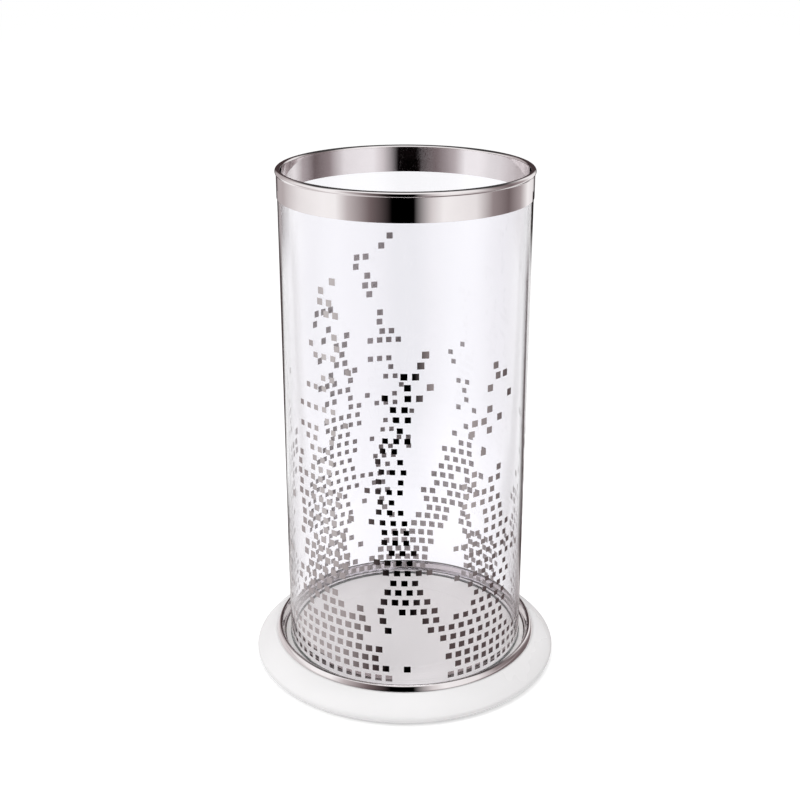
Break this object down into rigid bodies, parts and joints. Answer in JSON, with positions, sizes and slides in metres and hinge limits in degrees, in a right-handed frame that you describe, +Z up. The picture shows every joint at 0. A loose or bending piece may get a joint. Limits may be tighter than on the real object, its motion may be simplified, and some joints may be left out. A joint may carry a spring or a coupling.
{
  "type": "umbrella stand",
  "caption": "Clear glass tube umbrella stand with a polished steel collar and drip tray on a round glossy white base.",
  "frame": {"origin": "on the floor below the axis of the tube, at the centre of the base", "axes": "+Z up along the axis of the tube; X and Y are free, one foot stands 30 degrees from +X"},
  "size_m": [0.3056, 0.3056, 0.5],
  "materials": {
    "clear_glass": "clear, polished",
    "polished_steel": "mirror-polished stainless steel",
    "clear_vinyl": "clear soft plastic",
    "white_lacquer": "glossy white lacquer on board",
    "screw_steel": "zinc-plated",
    "foot_rubber": "matt black"
  },
  "bodies": {
    "base": {"base_board": "white_lacquer", "foot_screws": "screw_steel", "foot_1": "foot_rubber", "foot_2": "foot_rubber", "foot_3": "foot_rubber", "foot_4": "foot_rubber", "foot_5": "foot_rubber", "foot_6": "foot_rubber"},
    "tray": {"drip_tray": "polished_steel"},
    "tube": {"glass_tube": "clear_glass", "rim_collar": "polished_steel", "collar_gasket": "clear_vinyl", "tube_pad": "clear_vinyl"}
  },
  "joints": [
    {"name": "tray_lift", "type": "slide", "parent": "base", "child": "tray", "axis": [0, 0, 1], "range_m": [0, 0.04]},
    {"name": "tube_lift", "type": "slide", "parent": "tray", "child": "tube", "axis": [0, 0, 1], "range_m": [0, 0.06]}
  ]
}
